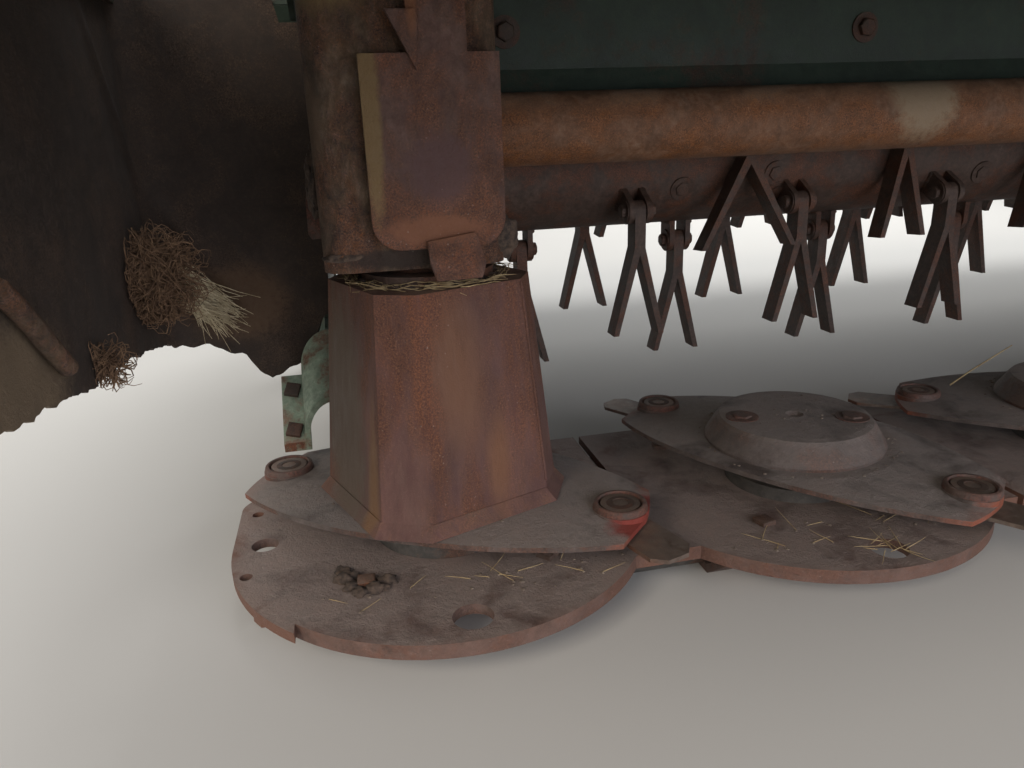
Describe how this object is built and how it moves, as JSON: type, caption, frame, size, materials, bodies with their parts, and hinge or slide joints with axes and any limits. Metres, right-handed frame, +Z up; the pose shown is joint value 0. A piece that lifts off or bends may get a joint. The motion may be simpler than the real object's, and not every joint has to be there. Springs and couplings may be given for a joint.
{
  "type": "disc mower conditioner header",
  "caption": "Cutting and conditioning header with spinning knife discs, skid plates, a fork-tine rotor under a hood, side curtains and hinged guards.",
  "frame": {"origin": "on the ground under the middle of the whole header", "axes": "+X along the cutterbar to the driver's left as seen facing the machine from the front, +Y to the rear, +Z up"},
  "size_m": [2.58, 1.77, 0.96],
  "materials": {
    "dusty_steel": "dusty grey steel with a rust red rim",
    "turret_rust": "purplish rust brown, worn paint",
    "sleeve_rust": "rough rust brown",
    "tube_rust": "orange brown rust over old paint",
    "green_paint": "dark green, faded and dirty",
    "pale_green": "pale green grey, chalky",
    "dark_steel": "dark brown worn steel",
    "blade_steel": "worn blade steel with rust",
    "curtain_cloth": "rubberised cloth, dusty and torn",
    "gear_grey": "dirty cast iron",
    "shaft_steel": "bright worn steel"
  },
  "bodies": {
    "frame": {"cutterbar": "dusty_steel", "drive_sleeve": "sleeve_rust", "sleeve_shroud": "sleeve_rust", "gearbox": "gear_grey", "main_beam": "green_paint", "cross_tube": "tube_rust", "hood_front": "green_paint", "hood_top": "green_paint", "side_frame_left": "green_paint", "side_frame_right": "green_paint", "canopy": "green_paint", "curtain_left": "curtain_cloth", "curtain_right": "curtain_cloth", "curtain_rail_left": "green_paint", "curtain_rail_right": "green_paint", "arch_bracket_left": "pale_green", "arch_bracket_right": "pale_green", "belt_cover": "green_paint", "lift_lugs": "green_paint", "rear_foot_left": "green_paint", "rear_foot_right": "green_paint", "skid_1": "dusty_steel", "skid_2": "dusty_steel", "skid_3": "dusty_steel", "skid_4": "dusty_steel", "skid_5": "dusty_steel", "skid_6": "dusty_steel"},
    "cutting_disc_1": {"disc_1": "dusty_steel", "knives_1": "blade_steel", "turret_1": "turret_rust", "drive_shaft": "dark_steel"},
    "cutting_disc_2": {"disc_2": "dusty_steel", "knives_2": "blade_steel", "hub_cap_2": "dusty_steel"},
    "cutting_disc_3": {"disc_3": "dusty_steel", "knives_3": "blade_steel", "hub_cap_3": "dusty_steel"},
    "cutting_disc_4": {"disc_4": "dusty_steel", "knives_4": "blade_steel", "hub_cap_4": "dusty_steel"},
    "cutting_disc_5": {"disc_5": "dusty_steel", "knives_5": "blade_steel", "hub_cap_5": "dusty_steel"},
    "cutting_disc_6": {"disc_6": "dusty_steel", "knives_6": "blade_steel", "turret_6": "turret_rust"},
    "tine_rotor": {"rotor": "dark_steel", "tines_1": "dark_steel", "tines_2": "dark_steel", "tines_3": "dark_steel", "tines_4": "dark_steel", "tines_5": "dark_steel", "tines_6": "dark_steel"},
    "power_shaft": {"input_shaft": "shaft_steel"},
    "rear_board": {"swath_board": "green_paint"},
    "left_door": {"swath_door_left": "green_paint"},
    "right_door": {"swath_door_right": "green_paint"},
    "flip_guard": {"front_guard": "green_paint"}
  },
  "joints": [
    {"name": "disc_1_spin", "type": "hinge", "parent": "frame", "child": "cutting_disc_1", "pos_m": [-1, -0.265, 0.09], "axis": [0, 0, 1], "continuous": true},
    {"name": "disc_2_spin", "type": "hinge", "parent": "frame", "child": "cutting_disc_2", "pos_m": [-0.6, -0.265, 0.09], "axis": [0, 0, 1], "continuous": true},
    {"name": "disc_3_spin", "type": "hinge", "parent": "frame", "child": "cutting_disc_3", "pos_m": [-0.2, -0.265, 0.09], "axis": [0, 0, 1], "continuous": true},
    {"name": "disc_4_spin", "type": "hinge", "parent": "frame", "child": "cutting_disc_4", "pos_m": [0.2, -0.265, 0.09], "axis": [0, 0, 1], "continuous": true},
    {"name": "disc_5_spin", "type": "hinge", "parent": "frame", "child": "cutting_disc_5", "pos_m": [0.6, -0.265, 0.09], "axis": [0, 0, 1], "continuous": true},
    {"name": "disc_6_spin", "type": "hinge", "parent": "frame", "child": "cutting_disc_6", "pos_m": [1, -0.265, 0.09], "axis": [0, 0, 1], "continuous": true},
    {"name": "input_spin", "type": "hinge", "parent": "frame", "child": "power_shaft", "pos_m": [-1, -0.365, 0.87], "axis": [0, -1, 0], "continuous": true},
    {"name": "rotor_spin", "type": "hinge", "parent": "frame", "child": "tine_rotor", "pos_m": [0, 0.165, 0.382], "axis": [1, 0, 0], "continuous": true},
    {"name": "swath_board_tilt", "type": "hinge", "parent": "frame", "child": "rear_board", "pos_m": [0, 0.65, 0.56], "axis": [1, 0, 0], "range_deg": [-20, 35]},
    {"name": "swath_door_left_swing", "type": "hinge", "parent": "frame", "child": "left_door", "pos_m": [-1.103, 0.649, 0.25], "axis": [0, 0, -1], "range_deg": [-15, 40]},
    {"name": "swath_door_right_swing", "type": "hinge", "parent": "frame", "child": "right_door", "pos_m": [1.103, 0.649, 0.25], "axis": [0, 0, 1], "range_deg": [-15, 40]},
    {"name": "front_guard_flip", "type": "hinge", "parent": "frame", "child": "flip_guard", "pos_m": [0, -0.689, 0.63], "axis": [-1, 0, 0], "range_deg": [0, 100]}
  ],
  "couplings": [
    {"joint": "disc_2_spin", "follows": "disc_1_spin", "ratio": -1},
    {"joint": "disc_3_spin", "follows": "disc_1_spin", "ratio": 1},
    {"joint": "disc_4_spin", "follows": "disc_1_spin", "ratio": -1},
    {"joint": "disc_5_spin", "follows": "disc_1_spin", "ratio": 1},
    {"joint": "disc_6_spin", "follows": "disc_1_spin", "ratio": -1},
    {"joint": "input_spin", "follows": "disc_1_spin", "ratio": 0.33333}
  ]
}
